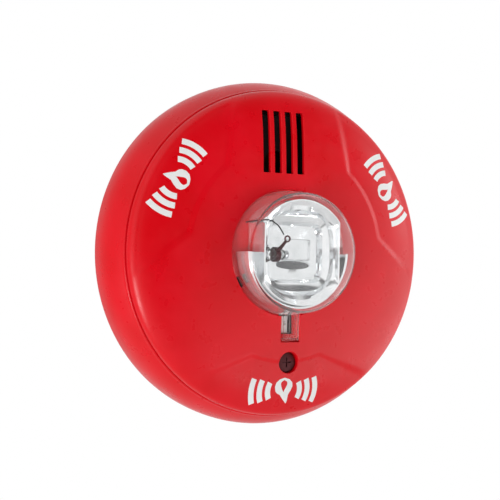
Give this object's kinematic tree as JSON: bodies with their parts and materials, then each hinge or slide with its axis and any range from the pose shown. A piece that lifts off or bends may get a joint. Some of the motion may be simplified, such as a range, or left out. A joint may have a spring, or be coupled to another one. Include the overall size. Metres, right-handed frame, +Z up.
{
  "type": "horn strobe",
  "caption": "Round fire alarm horn strobe for a wall or ceiling: domed cover with a clear flash lens, a sounder grille and a plug-in head on a mounting plate.",
  "frame": {"origin": "centre of the mounting plate's back face, on the wall", "axes": "+Z up with the grille at the top, -Y straight out of the wall through the lens, +Y into the wall, +X to the right of a viewer who faces the device"},
  "size_m": [0.173, 0.064, 0.173],
  "materials": {
    "red_plastic": "moulded red plastic, satin",
    "grey_plastic": "moulded dark grey plastic",
    "plate_plastic": "moulded off-white plastic",
    "black_plastic": "moulded black plastic",
    "white_plastic": "moulded white plastic",
    "clear_lens": "clear polished plastic",
    "tube_glass": "clear glass",
    "chrome_plating": "bright vacuum plating",
    "zinc_steel": "zinc plated",
    "dark_steel": "black zinc plated",
    "brass": "bright stamped brass",
    "board": "green solder mask on glass fibre",
    "copper": "enamelled copper winding",
    "capacitor_sleeve": "shrunk plastic sleeve"
  },
  "bodies": {
    "wall_base": {"mounting_plate": "plate_plastic", "terminal_block": "black_plastic", "shorting_spring": "brass", "contact_clip_1": "brass", "contact_clip_2": "brass", "contact_clip_3": "brass", "contact_clip_4": "brass"},
    "head": {"skirt": "red_plastic", "front_cover": "red_plastic", "rear_cover": "grey_plastic", "horn_cup": "black_plastic", "horn_duct": "black_plastic", "tone_switch": "black_plastic", "candela_switch": "black_plastic", "trigger_coil": "black_plastic", "controller_chip": "black_plastic", "trigger_clip": "black_plastic", "trigger_wire": "black_plastic", "lens": "clear_lens", "flash_tube": "tube_glass", "reflector": "chrome_plating", "cover_screw_1": "zinc_steel", "cover_screw_2": "zinc_steel", "cover_screw_3": "zinc_steel", "cover_screw_4": "zinc_steel", "board_screw_1": "zinc_steel", "board_screw_2": "zinc_steel", "board_screw_3": "zinc_steel", "board_screw_4": "zinc_steel", "tube_cap_left": "zinc_steel", "tube_cap_right": "zinc_steel", "piezo_disc": "brass", "contact_blade_1": "brass", "contact_blade_2": "brass", "contact_blade_3": "brass", "contact_blade_4": "brass", "circuit_board": "board", "inductor": "copper", "flash_capacitor": "capacitor_sleeve"},
    "candela_slider": {"candela_slider": "white_plastic"},
    "tone_dial": {"tone_dial": "white_plastic"},
    "screw_carrier": {"retaining_washer": "black_plastic"},
    "captive_screw": {"captive_screw": "dark_steel"},
    "clamp_1": {"wire_clamp_1": "zinc_steel"},
    "terminal_screw_1": {"terminal_screw_1": "zinc_steel"},
    "clamp_2": {"wire_clamp_2": "zinc_steel"},
    "terminal_screw_2": {"terminal_screw_2": "zinc_steel"},
    "clamp_3": {"wire_clamp_3": "zinc_steel"},
    "terminal_screw_3": {"terminal_screw_3": "zinc_steel"},
    "clamp_4": {"wire_clamp_4": "zinc_steel"},
    "terminal_screw_4": {"terminal_screw_4": "zinc_steel"}
  },
  "joints": [
    {"name": "head_swing", "type": "hinge", "parent": "wall_base", "child": "head", "pos_m": [0, -0.0015, 0.07674], "axis": [-1, 0, 0], "range_deg": [0, 9]},
    {"name": "candela_slide", "type": "slide", "parent": "head", "child": "candela_slider", "axis": [1, 0, 0], "range_m": [0, 0.02]},
    {"name": "tone_turn", "type": "hinge", "parent": "head", "child": "tone_dial", "pos_m": [-0.03, -0.0135, -0.012], "axis": [0, 1, 0], "range_deg": [0, 315]},
    {"name": "captive_screw_lift", "type": "slide", "parent": "head", "child": "screw_carrier", "axis": [0, -1, 0], "range_m": [0, 0.0048]},
    {"name": "captive_screw_turn", "type": "hinge", "parent": "screw_carrier", "child": "captive_screw", "pos_m": [0.0015, -0.0245, -0.0535], "axis": [0, -1, 0], "range_deg": [0, 2469]},
    {"name": "clamp_lift_1", "type": "slide", "parent": "wall_base", "child": "clamp_1", "axis": [0, -1, 0], "range_m": [0, 0.0018]},
    {"name": "terminal_turn_1", "type": "hinge", "parent": "clamp_1", "child": "terminal_screw_1", "pos_m": [-0.0195, -0.0088, -0.003], "axis": [0, -1, 0], "range_deg": [0, 926]},
    {"name": "clamp_lift_2", "type": "slide", "parent": "wall_base", "child": "clamp_2", "axis": [0, -1, 0], "range_m": [0, 0.0018]},
    {"name": "terminal_turn_2", "type": "hinge", "parent": "clamp_2", "child": "terminal_screw_2", "pos_m": [-0.0065, -0.0088, -0.003], "axis": [0, -1, 0], "range_deg": [0, 926]},
    {"name": "clamp_lift_3", "type": "slide", "parent": "wall_base", "child": "clamp_3", "axis": [0, -1, 0], "range_m": [0, 0.0018]},
    {"name": "terminal_turn_3", "type": "hinge", "parent": "clamp_3", "child": "terminal_screw_3", "pos_m": [0.0065, -0.0088, -0.003], "axis": [0, -1, 0], "range_deg": [0, 926]},
    {"name": "clamp_lift_4", "type": "slide", "parent": "wall_base", "child": "clamp_4", "axis": [0, -1, 0], "range_m": [0, 0.0018]},
    {"name": "terminal_turn_4", "type": "hinge", "parent": "clamp_4", "child": "terminal_screw_4", "pos_m": [0.0195, -0.0088, -0.003], "axis": [0, -1, 0], "range_deg": [0, 926]}
  ],
  "couplings": [
    {"joint": "captive_screw_turn", "follows": "captive_screw_lift", "rad_per_m": 8976},
    {"joint": "terminal_turn_1", "follows": "clamp_lift_1", "rad_per_m": 8976},
    {"joint": "terminal_turn_2", "follows": "clamp_lift_2", "rad_per_m": 8976},
    {"joint": "terminal_turn_3", "follows": "clamp_lift_3", "rad_per_m": 8976},
    {"joint": "terminal_turn_4", "follows": "clamp_lift_4", "rad_per_m": 8976}
  ]
}
